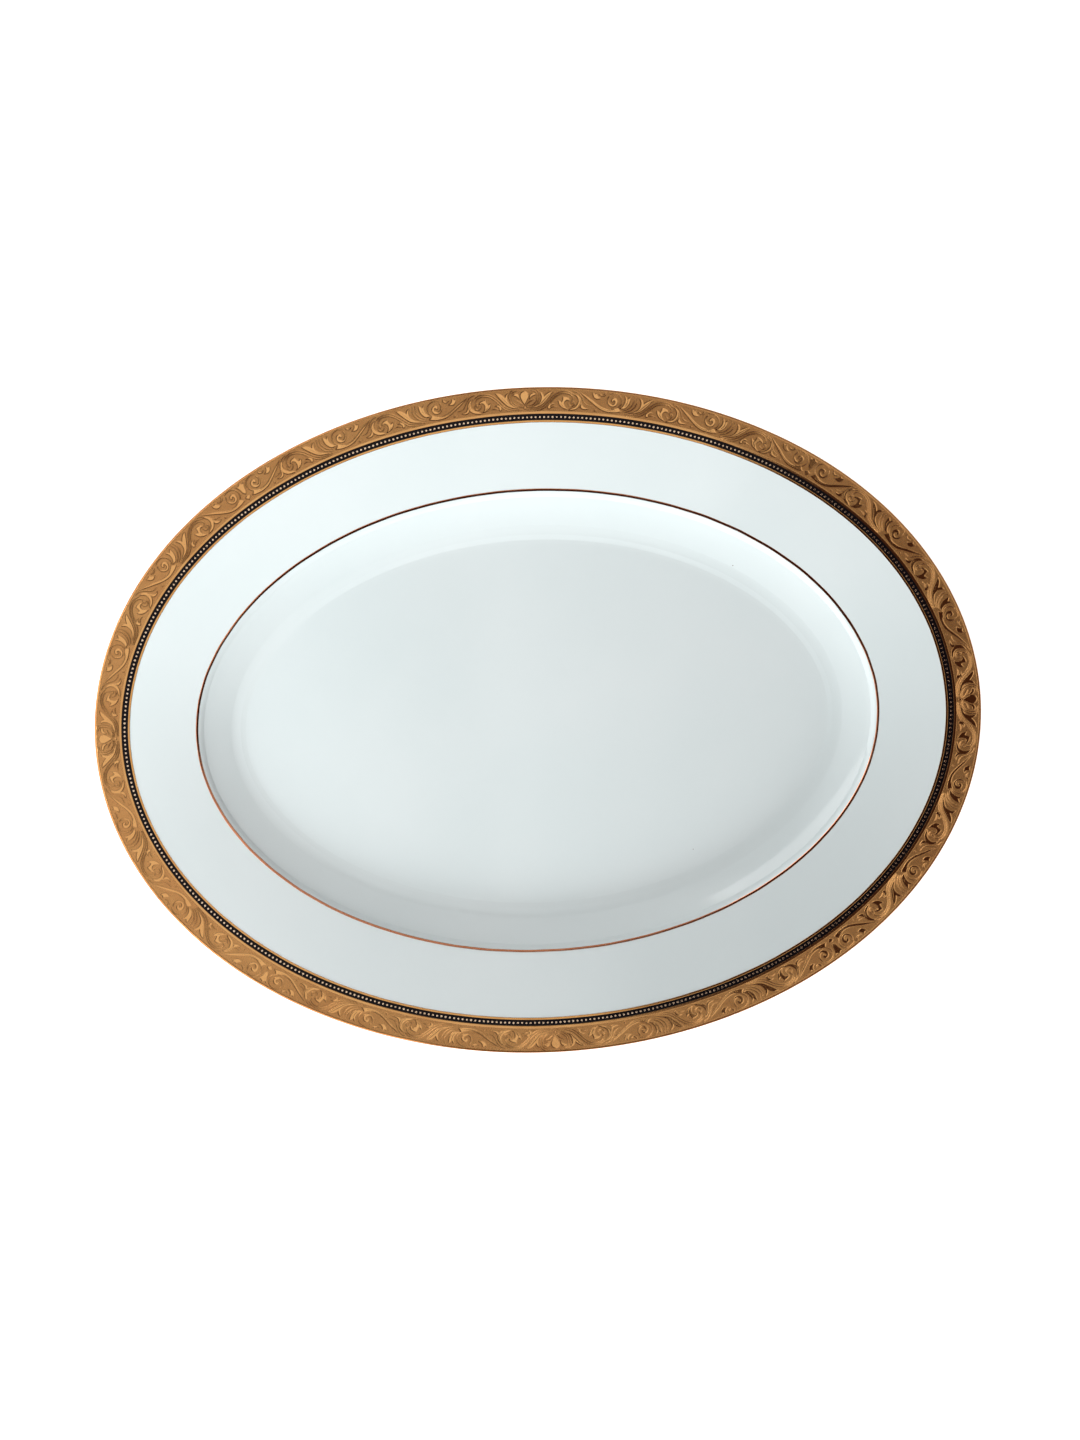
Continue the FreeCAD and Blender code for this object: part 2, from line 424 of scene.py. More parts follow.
def build_base_glaze(material):
    """Clear glaze on the base, inside the foot."""
    inner_stop = foot_rows()[1]
    outer = SKIN[inner_stop:]
    inner = outer - SKIN_OFF[inner_stop:] * GLAZE
    shell_piece("glaze_inside_foot", outer, inner[thinned(inner, 6)], BASE_COLUMNS,
                ["base_glaze"], material)


def build_lip_gilding(material):
    """Burnished gold over the edge of the lip."""
    near = SKIN[:, 0] < ETCHED_OUT + LIP_OVERLAP
    on_edge = np.flatnonzero(near & (SKIN[:, 1] > GILDING_LOW))
    around_lip = slice(on_edge[0], on_edge[-1] + 1)
    loop = film_loop(SKIN[around_lip], SKIN_OFF[around_lip], GILDING)
    ring_piece("lip_gold", loop, ["lip_gilding"], material)


def build_lines(gold, thin_gold, black):
    """Plain gold lines and the black enamel band."""
    ring_piece("gold_line_under_relief",
               face_film(ETCHED_IN - LINE_OVERLAP, BLACK_OUT, THICK_FILM),
               ["gold_line_outer"], gold, hand_wander(0.03, 1))
    ring_piece("black_band",
               face_film(BLACK_OUT - BLACK_OVERLAP, BLACK_IN + BLACK_OVERLAP, FILM),
               ["black_enamel_band"], black)
    ring_piece("gold_line_inside", face_film(BLACK_IN, INNER_LINE_IN, THICK_FILM),
               ["gold_line_inner"], gold, hand_wander(0.05, 2))
    ring_piece("gold_line_at_verge", face_film(VERGE_LINE_OUT, VERGE_LINE_IN, FILM),
               ["verge_gold_line"], thin_gold, hand_wander(0.09, 3))


BEAD_SIDES = 14
BEAD_PROFILE = [(1, 0), (0.97, 0.85), (0.91, 1.0), (0.82, 1.0)]     # shares of radius and height


def bead_shape():
    """Points and faces of one raised dot of unit size: a nearly flat top with a rounded edge."""
    points = []
    for spread, rise in BEAD_PROFILE:
        for side in range(BEAD_SIDES):
            angle = side / BEAD_SIDES * TAU
            points.append((math.cos(angle) * spread, math.sin(angle) * spread, rise))
    points.append((0, 0, 1))
    faces = [tuple(reversed(range(BEAD_SIDES)))]
    for low in range(0, len(points) - 1 - BEAD_SIDES, BEAD_SIDES):
        high = low + BEAD_SIDES
        for side in range(BEAD_SIDES):
            after = (side + 1) % BEAD_SIDES
            faces.append((low + side, low + after, high + after, high + side))
    top = len(points) - 1
    ring = top - BEAD_SIDES
    for side in range(BEAD_SIDES):
        faces.append((ring + side, ring + (side + 1) % BEAD_SIDES, top))
    return np.array(points), faces


def bead_places():
    """Places around the platter of the beads, evenly spaced along their own row."""
    course = place(np.arange(EDGE_STEPS) / EDGE_STEPS, np.full(EDGE_STEPS, BEAD_INSET), 0.0)[:, :2]
    steps = np.linalg.norm(np.diff(course, axis=0, append=course[:1]), axis=1)
    travelled = np.concatenate([[0], np.cumsum(steps)])
    stops = (np.arange(BEAD_COUNT) + 0.5) / BEAD_COUNT * travelled[-1]
    return np.interp(stops, travelled, np.arange(EDGE_STEPS + 1) / EDGE_STEPS)


def build_beads(material):
    """Raised gold dots in one row along the black band, each a little different."""
    random = np.random.default_rng(SEED)
    z, off_in, off_z = skin_at(BEAD_INSET)
    shape, shape_faces = bead_shape()
    points = []
    faces = []
    for number, spot in enumerate(bead_places()):
        size = random.normal(1, 0.05)
        inset = BEAD_INSET + random.normal(0, 0.03)
        seat = place(np.array([spot]), inset, z - (inset - BEAD_INSET) * math.tan(RIM_SLOPE))[0]
        outward = np.append(edge_at(np.array([spot]))[1][0], 0)
        up = np.array([0, 0, off_z]) - outward * off_in
        side = np.cross(up, outward)
        ahead = np.cross(side, up)
        local = shape * (BEAD_RADIUS * size, BEAD_RADIUS * size, BEAD_HEIGHT * size)
        seat = seat + up * (FILM - BEAD_SUNK)
        points.append(seat + local[:, :1] * ahead + local[:, 1:2] * side + local[:, 2:] * up)
        faces += [tuple(index + number * len(shape) for index in face) for face in shape_faces]
    make_piece("gold_beads", np.concatenate(points), faces, ["bead_row"], material)


# ---- relief of the etched band ----
#
# Drawn flat: x runs along the edge from the palmette on an axis to the one on a diagonal, y runs
# outward from the gold line to the lip. Leaves are closed outlines of smooth curves that meet in
# points. Each is placed by the middle of the motif that it belongs to.

MOTIF_STEP = EDGE_LENGTH / 48
HALF_UNIT = 6 * MOTIF_STEP
FIELD = ETCHED_IN - ETCHED_OUT
LEAF_RISE = 0.09
STEM_RISE = 0.10
BEVEL = 0.30
FINE_BEVEL = 0.25
BEVEL_OUTSIDE = 0.35             # share of a bevel that lies outside the drawn outline
GROOVE = 0.03
VEIN_RADIUS = 0.16
VEIN_ENDS = (0.3, 0.3)           # shares of the radius at the two ends
STEM_SPREAD = 1.2                # the foot of a stem against its drawn radius
STEM_POWER = 1.2                 # above 1, the sides of a stem run out softly into the ground
LAST_SCROLL_SHIFT = 1.2          # the scroll beside the diagonal stands this far from it
ETCHED_PIECES = 8
COLUMNS = 1000
ROWS = 78
CURVE_STEPS = 8                  # points of a smooth line from one drawn point to the next
CURL_STEPS = 28


def smooth(points):
    """Smooth line through a few points."""
    known = np.array(points, float)
    if len(known) < 3:
        return known
    known = np.vstack([2 * known[0] - known[1], known, 2 * known[-1] - known[-2]])
    t = np.linspace(0, 1, CURVE_STEPS, endpoint=False)[:, None]
    runs = []
    for a, b, c, d in zip(known, known[1:], known[2:], known[3:]):
        runs.append(b + 0.5 * t * (c - a + t * (2 * a - 5 * b + 4 * c - d
                                                 + t * (3 * b - a - 3 * c + d))))
    return np.vstack(runs + [known[-2][None]])


def curl(x, y, first_radius, last_radius, first_angle, last_angle):
    """Spiral line around a middle point, angles in degrees."""
    angle = np.radians(np.linspace(first_angle, last_angle, CURL_STEPS))
    radius = np.linspace(first_radius, last_radius, CURL_STEPS)
    return np.stack([x + radius * np.cos(angle), y + radius * np.sin(angle)], -1)


class Relief:
    """Height of the gold over a stretch of the band, and how far each point lies inside a leaf."""

    def __init__(self):
        self.x = np.linspace(0, HALF_UNIT, COLUMNS)
        self.y = np.linspace(0, FIELD, ROWS)
        self.middle = 0.0               # x of the motif being drawn
        self.rise = np.zeros((COLUMNS, ROWS))
        self.leaf = np.full((COLUMNS, ROWS), -1.0)

    def window(self, line, margin):
        """The grid points near a line."""
        low = line.min(0) - margin
        high = line.max(0) + margin
        i0, i1 = np.searchsorted(self.x, [low[0], high[0]])
        j0, j1 = np.searchsorted(self.y, [low[1], high[1]])
        x, y = np.meshgrid(self.x[i0:i1], self.y[j0:j1], indexing="ij")
        return (slice(i0, i1), slice(j0, j1)), x, y

    @staticmethod
    def nearest(x, y, line):
        """Distance to a line and the share of the line at the nearest place."""
        start = line[:-1]
        run = line[1:] - start
        length = (run ** 2).sum(1) + 1e-12
        dx = x[..., None] - start[:, 0]
        dy = y[..., None] - start[:, 1]
        t = np.clip((dx * run[:, 0] + dy * run[:, 1]) / length, 0, 1)
        distance = np.hypot(dx - t * run[:, 0], dy - t * run[:, 1])
        best = distance.argmin(-1)[..., None]
        share = (best + np.take_along_axis(t, best, -1)) / len(start)
        return np.take_along_axis(distance, best, -1)[..., 0], share[..., 0]

    def raise_flat(self, where, inside, bevel):
        """Raise a flat-topped shape whose edge slopes down over the bevel."""
        t = np.clip(inside / bevel + BEVEL_OUTSIDE, 0, 1)
        self.rise[where] = np.maximum(self.rise[where], LEAF_RISE * t * t * (3 - 2 * t))
        self.leaf[where] = np.maximum(self.leaf[where], inside)

    def plateau(self, curves, bevel=BEVEL):
        """A leaf: a closed outline of curves."""
        line = np.vstack([smooth(curve) for curve in curves]) + (self.middle, 0)
        line = np.vstack([line, line[:1]])
        where, x, y = self.window(line, bevel)
        if not x.size:
            return
        distance = self.nearest(x, y, line)[0]
        within = np.zeros(x.shape, bool)
        for (x0, y0), (x1, y1) in zip(line, line[1:]):
            if y0 != y1:
                across = (y0 > y) != (y1 > y)
                within ^= across & (x < (x1 - x0) * (y - y0) / (y1 - y0) + x0)
        self.raise_flat(where, np.where(within, distance, -distance), bevel)

    def reached(self, line, radius, ends):
        """Window around a stroke, the distance to it and its radius at each grid point."""
        line = line + (self.middle, 0)
        where, x, y = self.window(line, radius + BEVEL)
        if not x.size:
            return where, x, x
        distance, share = self.nearest(x, y, line)
        return where, distance, radius * np.interp(share, [0, 0.5, 1], [ends[0], 1, ends[1]])

    def strap(self, points, radius, ends):
        """A flat-topped stroke. `ends` holds the shares of the radius at its first and last point."""
        where, distance, wide = self.reached(smooth(points), radius, ends)
        self.raise_flat(where, wide - distance, FINE_BEVEL)

    def stem(self, points, radius, ends):
        """A rounded stroke."""
        where, distance, wide = self.reached(smooth(points), radius * STEM_SPREAD, ends)
        rise = STEM_RISE * np.clip(1 - (distance / wide) ** 2, 0, 1) ** STEM_POWER
        self.rise[where] = np.maximum(self.rise[where], rise)

    def vein(self, points):
        """A groove cut along a leaf."""
        where, distance, wide = self.reached(smooth(points), VEIN_RADIUS, VEIN_ENDS)
        cut = GROOVE * np.clip(1 - distance / wide, 0, 1)
        self.rise[where] = np.maximum(self.rise[where] - cut, 0)

    def dot(self, x, y, radius):
        """A small round boss."""
        where, grid_x, grid_y = self.window(np.array([[x + self.middle, y]]), radius)
        share = np.hypot(grid_x - x - self.middle, grid_y - y) / radius
        rise = LEAF_RISE * np.sqrt(np.clip(1 - share ** 2, 0, 1))
        self.rise[where] = np.maximum(self.rise[where], rise)


def rising_leaf(relief):
    """Two-pointed leaf and the pair of stems under it, which rise to the crest at the motif."""
    relief.plateau([
        [(-19.2, 1.1), (-16.6, 2.1), (-14.7, 3.2), (-13.9, 4.6), (-13.8, 6.2), (-14.7, 8.0)],
        [(-14.7, 8.0), (-13.3, 7.3), (-12.6, 6.1)],
        [(-12.6, 6.1), (-11.6, 7.0), (-10.3, 7.8), (-8.6, 8.1)],
        [(-8.6, 8.1), (-10.0, 6.2), (-11.7, 4.2), (-13.4, 2.6), (-15.6, 1.6), (-19.2, 1.1)],
    ])
    relief.vein([(-17.6, 1.5), (-14.6, 2.6), (-12.6, 4.5), (-10.9, 6.4), (-9.7, 7.5)])
    relief.stem([(-19.6, 0.75), (-16.0, 1.0), (-13.2, 1.95), (-11.1, 3.75), (-9.2, 5.7),
                 (-7.0, 7.3), (-4.6, 8.0), (-2.2, 7.85), (-0.3, 6.9)], 0.26, (0.6, 0.8))
    relief.stem([(-19.4, 0.15), (-15.6, 0.35), (-12.6, 1.3), (-10.5, 3.1), (-8.6, 5.1),
                 (-6.6, 6.6), (-4.5, 7.3), (-2.4, 7.1), (-0.9, 6.2), (-0.5, 5.0), (-1.0, 4.4)],
                0.30, (0.6, 0.8))


def lower_scroll(relief):
    """Scroll under a crest, with a hooked sprig before it and a tail after it."""
    relief.plateau([
        [(-11.1, 2.0), (-10.4, 2.9), (-9.2, 3.2), (-7.9, 2.9)],
        [(-7.9, 2.9), (-9.2, 2.6), (-9.9, 1.9), (-9.8, 1.2)],
        [(-9.8, 1.2), (-10.4, 0.8), (-11.0, 1.2), (-11.1, 2.0)],
    ], FINE_BEVEL)
    relief.stem([(-9.6, 1.5), (-8.3, 1.9), (-6.8, 1.7)], 0.24, (0.8, 0.3))
    relief.plateau([
        [(-6.8, 4.6), (-6.5, 3.1), (-5.6, 1.9), (-4.2, 1.1), (-2.4, 0.75)],
        [(-2.4, 0.75), (-3.6, 1.7), (-4.0, 2.9), (-3.7, 4.0), (-2.8, 4.5), (-1.5, 4.1)],
        [(-1.5, 4.1), (-2.2, 5.2), (-3.4, 5.7), (-4.8, 5.9)],
        [(-4.8, 5.9), (-4.9, 4.9), (-5.3, 3.8)],
        [(-5.3, 3.8), (-6.0, 4.1), (-6.8, 4.6)],
    ])
    relief.vein([(-5.6, 3.3), (-4.9, 2.2), (-3.7, 1.4)])
    relief.plateau([
        [(-0.3, 7.0), (1.3, 6.6), (2.6, 5.4), (3.05, 3.8), (2.4, 2.1), (0.9, 0.95), (-1.2, 0.5),
         (-2.4, 0.55)],
        [(-2.4, 0.55), (-1.2, 1.35), (0.4, 2.0), (1.35, 3.2), (1.6, 4.5), (1.0, 5.9),
         (-0.3, 7.0)],
    ])
    relief.vein([(1.0, 6.4), (2.1, 5.2), (2.45, 3.8), (1.9, 2.4), (0.7, 1.4)])
    relief.plateau([
        [(3.1, 4.0), (3.5, 2.8), (4.4, 1.95), (6.4, 1.7)],
        [(6.4, 1.7), (5.0, 1.1), (3.6, 1.2), (2.7, 2.0), (3.1, 4.0)],
    ], FINE_BEVEL)
    relief.stem(curl(-0.9, 3.5, 1.85, 0.4, 130, 500), 0.27, (0.6, 1.0))
    relief.dot(-0.85, 3.5, 0.42)


def upper_scroll(relief):
    """Stem that falls from a crest, the long leaf in the trough and the scroll above it."""
    relief.stem([(-21.0, 8.2), (-19.0, 7.5), (-17.5, 5.9), (-16.4, 4.0), (-15.1, 3.0),
                 (-13.2, 2.7)], 0.24, (0.7, 0.4))
    relief.plateau([
        [(-19.2, 8.3), (-16.4, 6.8), (-13.4, 5.1), (-10.9, 3.5), (-8.6, 2.45), (-6.2, 2.0),
         (-4.1, 2.3), (-2.2, 3.2)],
        [(-2.2, 3.2), (-1.6, 2.2), (-0.6, 1.6)],
        [(-0.6, 1.6), (-2.6, 1.0), (-4.8, 0.75), (-6.8, 0.8), (-9.0, 1.35), (-11.4, 2.6),
         (-13.8, 4.2), (-16.6, 6.2), (-19.2, 8.3)],
    ])
    relief.vein([(-15.6, 6.0), (-12.4, 3.9), (-9.4, 2.2), (-6.4, 1.4), (-3.2, 1.7)])
    relief.strap(curl(-4.5, 5.35, 2.55, 0.35, 135, 520), 0.60, (0.3, 0.8))
    relief.stem([(-6.4, 8.0), (-4.4, 8.45), (-2.3, 7.9), (-1.2, 6.6), (-1.0, 5.0), (-1.7, 3.6),
                 (-3.0, 2.7), (-4.6, 2.3)], 0.28, (0.4, 0.6))
    relief.plateau([
        [(-13.3, 8.1), (-13.1, 6.8), (-12.3, 5.8), (-11.1, 5.5), (-9.6, 6.0)],
        [(-9.6, 6.0), (-10.7, 6.5), (-11.3, 7.2), (-11.5, 8.1)],
        [(-11.5, 8.1), (-12.4, 7.7), (-13.3, 8.1)],
    ], FINE_BEVEL)
    relief.strap([(-10.3, 7.5), (-9.2, 7.1), (-8.2, 7.5), (-8.0, 8.1)], 0.32, (0.5, 1.0))
    relief.dot(-11.7, 1.1, 0.45)


def leaf_after_scroll(relief):
    """Broad leaf and two curved strokes to the right of an upper scroll."""
    relief.plateau([
        [(-0.2, 8.2), (0.3, 6.5), (0.1, 4.9), (-0.7, 3.6), (-1.9, 2.8)],
        [(-1.9, 2.8), (0.2, 2.75), (1.7, 4.0), (2.5, 5.8), (2.6, 8.0)],
        [(2.6, 8.0), (1.7, 7.4), (1.2, 6.9)],
        [(1.2, 6.9), (0.7, 7.5), (-0.2, 8.2)],
    ])
    relief.vein([(1.4, 6.6), (1.2, 5.0), (0.3, 3.7)])
    relief.stem([(3.8, 8.2), (4.1, 6.4), (3.4, 4.5), (2.0, 3.0), (0.2, 2.1)], 0.28, (0.5, 0.5))
    relief.stem([(5.0, 8.1), (5.3, 6.2), (4.6, 4.1), (3.0, 2.5), (0.9, 1.5)], 0.28, (0.5, 0.5))


def axis_palmette(relief):
    """Bud, side lobe and arms on an axis of the platter; the mirror makes the other half."""
    relief.plateau([
        [(0, 2.6), (-0.9, 4.0), (-1.7, 5.6), (-1.75, 6.9), (-1.1, 7.8), (0, 8.3)],
        [(0, 8.3), (1.1, 7.8), (1.75, 6.9), (1.7, 5.6), (0.9, 4.0), (0, 2.6)],
    ])
    relief.plateau([
        [(2.0, 5.6), (2.3, 6.6), (3.0, 7.25), (4.0, 7.35), (4.9, 6.9)],
        [(4.9, 6.9), (4.2, 6.35), (3.3, 6.1), (2.6, 5.4), (1.7, 4.4)],
        [(1.7, 4.4), (1.95, 5.0), (2.0, 5.6)],
    ], FINE_BEVEL)
    relief.stem([(0.6, 2.5), (2.7, 2.5), (4.5, 3.6), (5.2, 5.4), (5.1, 7.1), (4.3, 8.1),
                 (3.0, 8.4)], 0.28, (0.6, 0.5))
    relief.stem([(0.9, 1.9), (3.2, 1.95), (5.2, 3.1), (6.1, 5.2), (6.1, 7.0), (5.3, 8.4),
                 (4.2, 8.8)], 0.28, (0.6, 0.5))
    relief.stem([(0.9, 2.9), (2.2, 4.0), (3.9, 4.8)], 0.26, (0.6, 0.5))
    relief.dot(0, 1.45, 0.62)


def diagonal_palmette(relief):
    """Cup and bud on a diagonal of the platter; the mirror makes the other half."""
    relief.plateau([
        [(0, 3.3), (-0.9, 4.5), (-1.2, 6.0), (-1.8, 7.3), (-2.4, 8.2)],
        [(-2.4, 8.2), (-1.1, 7.7), (0, 8.3)],
        [(0, 8.3), (1.1, 7.7), (2.4, 8.2)],
        [(2.4, 8.2), (1.8, 7.3), (1.2, 6.0), (0.9, 4.5), (0, 3.3)],
    ])
    relief.plateau([[(0, 0.8), (-1.2, 2.1), (0, 2.8)], [(0, 2.8), (1.2, 2.1), (0, 0.8)]],
                   FINE_BEVEL)


def draw_half_unit():
    """The relief from a palmette on an axis to the next one on a diagonal."""
    relief = Relief()
    for crest in (1, 3, 5):
        relief.middle = crest * MOTIF_STEP
        rising_leaf(relief)
        lower_scroll(relief)
    for trough in (2, 4):
        relief.middle = trough * MOTIF_STEP
        upper_scroll(relief)
        leaf_after_scroll(relief)
    relief.middle = HALF_UNIT - LAST_SCROLL_SHIFT
    upper_scroll(relief)
    relief.middle = 0
    axis_palmette(relief)
    relief.middle = HALF_UNIT
    diagonal_palmette(relief)
    return relief


def etched_piece(number, relief, material):
    """One eighth of the band: the relief above, a plain face below, and walls between."""
    quarter, mirrored = divmod(number, 2)           # every second piece runs the other way
    share = relief.x / HALF_UNIT / ETCHED_PIECES
    around = quarter / 4 + (1 / 4 - share if mirrored else share)
    inset = ETCHED_IN - relief.y
    z, off_in, off_z = skin_at(inset)
    lift = FIELD_LIFT + relief.rise
    top = place(around[:, None], inset + off_in * lift, z + off_z * lift)
    under = place(around[:, None], inset[[0, -1]], (z - FILM_SUNK)[[0, -1]])
    points = np.concatenate([top.reshape(-1, 3), under.reshape(-1, 3)])
    grid = np.arange(COLUMNS * ROWS).reshape(COLUMNS, ROWS)
    low = COLUMNS * ROWS + np.arange(COLUMNS * 2).reshape(COLUMNS, 2)
    faces = quads_between(grid[:-1, :-1], grid[1:, :-1], grid[1:, 1:], grid[:-1, 1:])
    faces += quads_between(low[:-1, 1], low[1:, 1], low[1:, 0], low[:-1, 0])
    faces += quads_between(low[:-1, 0], low[1:, 0], grid[1:, 0], grid[:-1, 0])
    faces += quads_between(grid[:-1, -1], grid[1:, -1], low[1:, 1], low[:-1, 1])
    faces.append(list(grid[0]) + [low[0, 1], low[0, 0]])
    faces.append(list(grid[-1][::-1]) + [low[-1, 0], low[-1, 1]])
    zero = np.zeros(COLUMNS * 2)
    values = {
        "rise": np.concatenate([relief.rise.ravel() / LEAF_RISE, zero]),
        "leaf": np.concatenate([relief.leaf.ravel(), zero - 1]),
    }
    make_piece("etched_gold_%d" % (number + 1), points, faces, ["etched_gold_band"],
               material, values)


# ---- materials ----

class Shader:
    """A node material with short ways to add and link nodes."""

    def __init__(self, name):
        self.material = bpy.data.materials.new(name)
        self.material.use_nodes = True
        self.nodes = self.material.node_tree.nodes
        self.links = self.material.node_tree.links
        self.surface = self.nodes["Principled BSDF"]
        self.position = self.add("ShaderNodeTexCoord").outputs["Object"]

    def add(self, kind, **settings):
        """A new node with its settings."""
        node = self.nodes.new(kind)
        for key, value in settings.items():
            setattr(node, key, value)
        return node

    def feed(self, socket, value):
        """Link an output or set a plain value."""
        if isinstance(value, bpy.types.NodeSocket):
            self.links.new(value, socket)
        else:
            socket.default_value = value

    def noise(self, per_mm, detail=3.0, roughness=0.5):
        """Noise from 0 to 1 with `per_mm` features to the millimetre."""
        node = self.add("ShaderNodeTexNoise")
        self.feed(node.inputs["Vector"], self.position)
        node.inputs["Scale"].default_value = per_mm / MM
        node.inputs["Detail"].default_value = detail
        node.inputs["Roughness"].default_value = roughness
        return node.outputs["Fac"]

    def value(self, name):
        """A number kept on the mesh's points."""
        return self.add("ShaderNodeAttribute", attribute_name=name).outputs["Fac"]

    def spread(self, value, low, high, to_low=0.0, to_high=1.0, eased=False):
        """Map a range of numbers onto another, held at its ends."""
        node = self.add("ShaderNodeMapRange", clamp=True)
        if eased:
            node.interpolation_type = "SMOOTHSTEP"
        self.feed(node.inputs["Value"], value)
        for key, number in (("From Min", low), ("From Max", high),
                            ("To Min", to_low), ("To Max", to_high)):
            self.feed(node.inputs[key], number)
        return node.outputs["Result"]

    def maths(self, kind, first, second):
        """One arithmetic step."""
        node = self.add("ShaderNodeMath", operation=kind)
        self.feed(node.inputs[0], first)
        self.feed(node.inputs[1], second)
        return node.outputs[0]

    def blend(self, share, first, second):
        """Colour between two colours."""
        node = self.add("ShaderNodeMix", data_type="RGBA")
        self.feed(node.inputs["Factor"], share)
        self.feed(node.inputs[6], (*first, 1) if isinstance(first, tuple) else first)
        self.feed(node.inputs[7], (*second, 1) if isinstance(second, tuple) else second)
        return node.outputs[2]

    def bump(self, height, depth_mm, strength=1.0):
        """Small surface relief from a height of 0 to 1."""
        node = self.add("ShaderNodeBump")
        node.inputs["Strength"].default_value = strength
        node.inputs["Distance"].default_value = depth_mm * MM
        self.feed(node.inputs["Height"], height)
        self.links.new(node.outputs["Normal"], self.surface.inputs["Normal"])

    def finish(self, **inputs):
        """Set or link the surface's inputs by name, with _ for a space."""
        for key, value in inputs.items():
            socket = self.surface.inputs[key.replace("_", " ")]
            if isinstance(value, tuple) and len(value) == 3:
                value = (*value, 1)
            self.feed(socket, value)
        return self.material


def pinholes(shader):
    """Share of dark speck, from 0 to 1: a dot in the middle of a few of the cells."""
    cells = shader.add("ShaderNodeTexVoronoi")
    shader.feed(cells.inputs["Vector"], shader.position)
    cells.inputs["Scale"].default_value = 0.045 / MM
    drawn = shader.maths("FRACT", shader.maths("MULTIPLY", cells.outputs["Color"], 7.31), 0.0)
    chosen = shader.spread(drawn, 0.93, 0.935)
    dot = shader.spread(cells.outputs["Distance"], 0.008, 0.013, 1.0, 0.0)
    return shader.maths("MULTIPLY", dot, chosen)


def glaze_material():
    """White porcelain under clear glaze, with faint pooling, ripple and a few pinholes."""
    shader = Shader("porcelain_glaze")
    pooled = shader.spread(shader.noise(0.012, 4), 0.35, 0.65)
    tint = shader.blend(pooled, (0.775, 0.865, 0.872), (0.742, 0.840, 0.848))
    colour = shader.blend(pinholes(shader), tint, (0.16, 0.13, 0.10))
    ripple = shader.noise(0.09, 2)
    grain = shader.noise(0.9, 2)
    shader.bump(shader.maths("ADD", ripple, shader.maths("MULTIPLY", grain, 0.06)), 0.05, 0.5)
    gloss = shader.spread(shader.noise(0.4, 5), 0.3, 0.7, 0.055, 0.095)
    return shader.finish(Base_Color=colour, Roughness=gloss, IOR=1.52)


def bisque_material():
    """Bare fired china on the foot: matt, faintly grainy and a little soiled."""
    shader = Shader("bare_china")
    soil = shader.spread(shader.noise(0.25, 6, 0.7), 0.45, 0.75)
    colour = shader.blend(soil, (0.72, 0.69, 0.62), (0.50, 0.45, 0.37))
    shader.bump(shader.noise(5.0, 3), 0.06)
    return shader.finish(Base_Color=colour, Roughness=0.85)


def gold_material(name, bright, dark, least_rough, most_rough):
    """Fired gold, burnished by hand: streaky lustre and slightly uneven colour."""
    shader = Shader(name)
    cloud = shader.spread(shader.noise(0.06, 5, 0.6), 0.35, 0.68)
    fine = shader.noise(2.2, 4, 0.6)
    colour = shader.blend(cloud, bright, dark)
    lustre = shader.spread(shader.maths("ADD", shader.maths("MULTIPLY", cloud, 0.5), fine),
                           0.3, 1.1, least_rough, most_rough)
    shader.bump(fine, 0.004, 0.6)
    return shader.finish(Base_Color=colour, Roughness=lustre, Metallic=1.0)


def etched_material():
    """Etched gold: a matt stippled ground with burnished leaves and stems standing on it."""
    shader = Shader("etched_gold")
    shine = shader.spread(shader.value("leaf"), -0.04, 0.10, eased=True)
    crest = shader.spread(shader.value("rise"), 0.55, 0.9, 0.0, 0.75, eased=True)
    polished = shader.maths("MAXIMUM", shine, crest)
    cloud = shader.spread(shader.noise(0.05, 5, 0.6), 0.35, 0.68)
    ground = shader.blend(cloud, (0.78, 0.410, 0.150), (0.71, 0.350, 0.126))
    leaf = shader.blend(cloud, (0.81, 0.445, 0.165), (0.75, 0.392, 0.140))
    stipple = shader.noise(5.5, 2, 0.6)
    brushed = shader.noise(1.6, 3)
    ground_rough = shader.spread(stipple, 0.3, 0.7, 0.24, 0.34)
    leaf_rough = shader.spread(brushed, 0.3, 0.7, 0.08, 0.15)
    gloss = shader.add("ShaderNodeMix", data_type="FLOAT")
    shader.feed(gloss.inputs["Factor"], polished)
    shader.feed(gloss.inputs[2], ground_rough)
    shader.feed(gloss.inputs[3], leaf_rough)
    texture = shader.maths("MULTIPLY", stipple, shader.spread(polished, 0.0, 1.0, 1.0, 0.08))
    shader.bump(texture, 0.03)
    return shader.finish(Base_Color=shader.blend(polished, ground, leaf),
                         Roughness=gloss.outputs[0], Metallic=1.0)


def enamel_material():
    """Black enamel, glossy with a faint uneven skin."""
    shader = Shader("black_enamel")
    colour = shader.blend(shader.noise(0.15, 4), (0.003, 0.002, 0.003), (0.006, 0.004, 0.005))
    gloss = shader.spread(shader.noise(1.2, 4), 0.3, 0.7, 0.14, 0.22)
    shader.bump(shader.noise(0.8, 3), 0.02, 0.5)
    return shader.finish(Base_Color=colour, Roughness=gloss, Specular_IOR_Level=0.12)


FLOOR_GLOW = 0.60


def floor_material():
    """Plain pale floor, lit a little from below like a photographer's light table."""
    shader = Shader("pale_floor")
    colour = shader.blend(shader.noise(0.004, 3), (0.82, 0.82, 0.82), (0.85, 0.85, 0.845))
    return shader.finish(Base_Color=colour, Roughness=0.7, Emission_Color=(1.0, 1.0, 1.0),
                         Emission_Strength=FLOOR_GLOW)


# ---- floor, light and camera ----

FLOOR_REACH = 6.0                # metres from the middle to each side of the floor


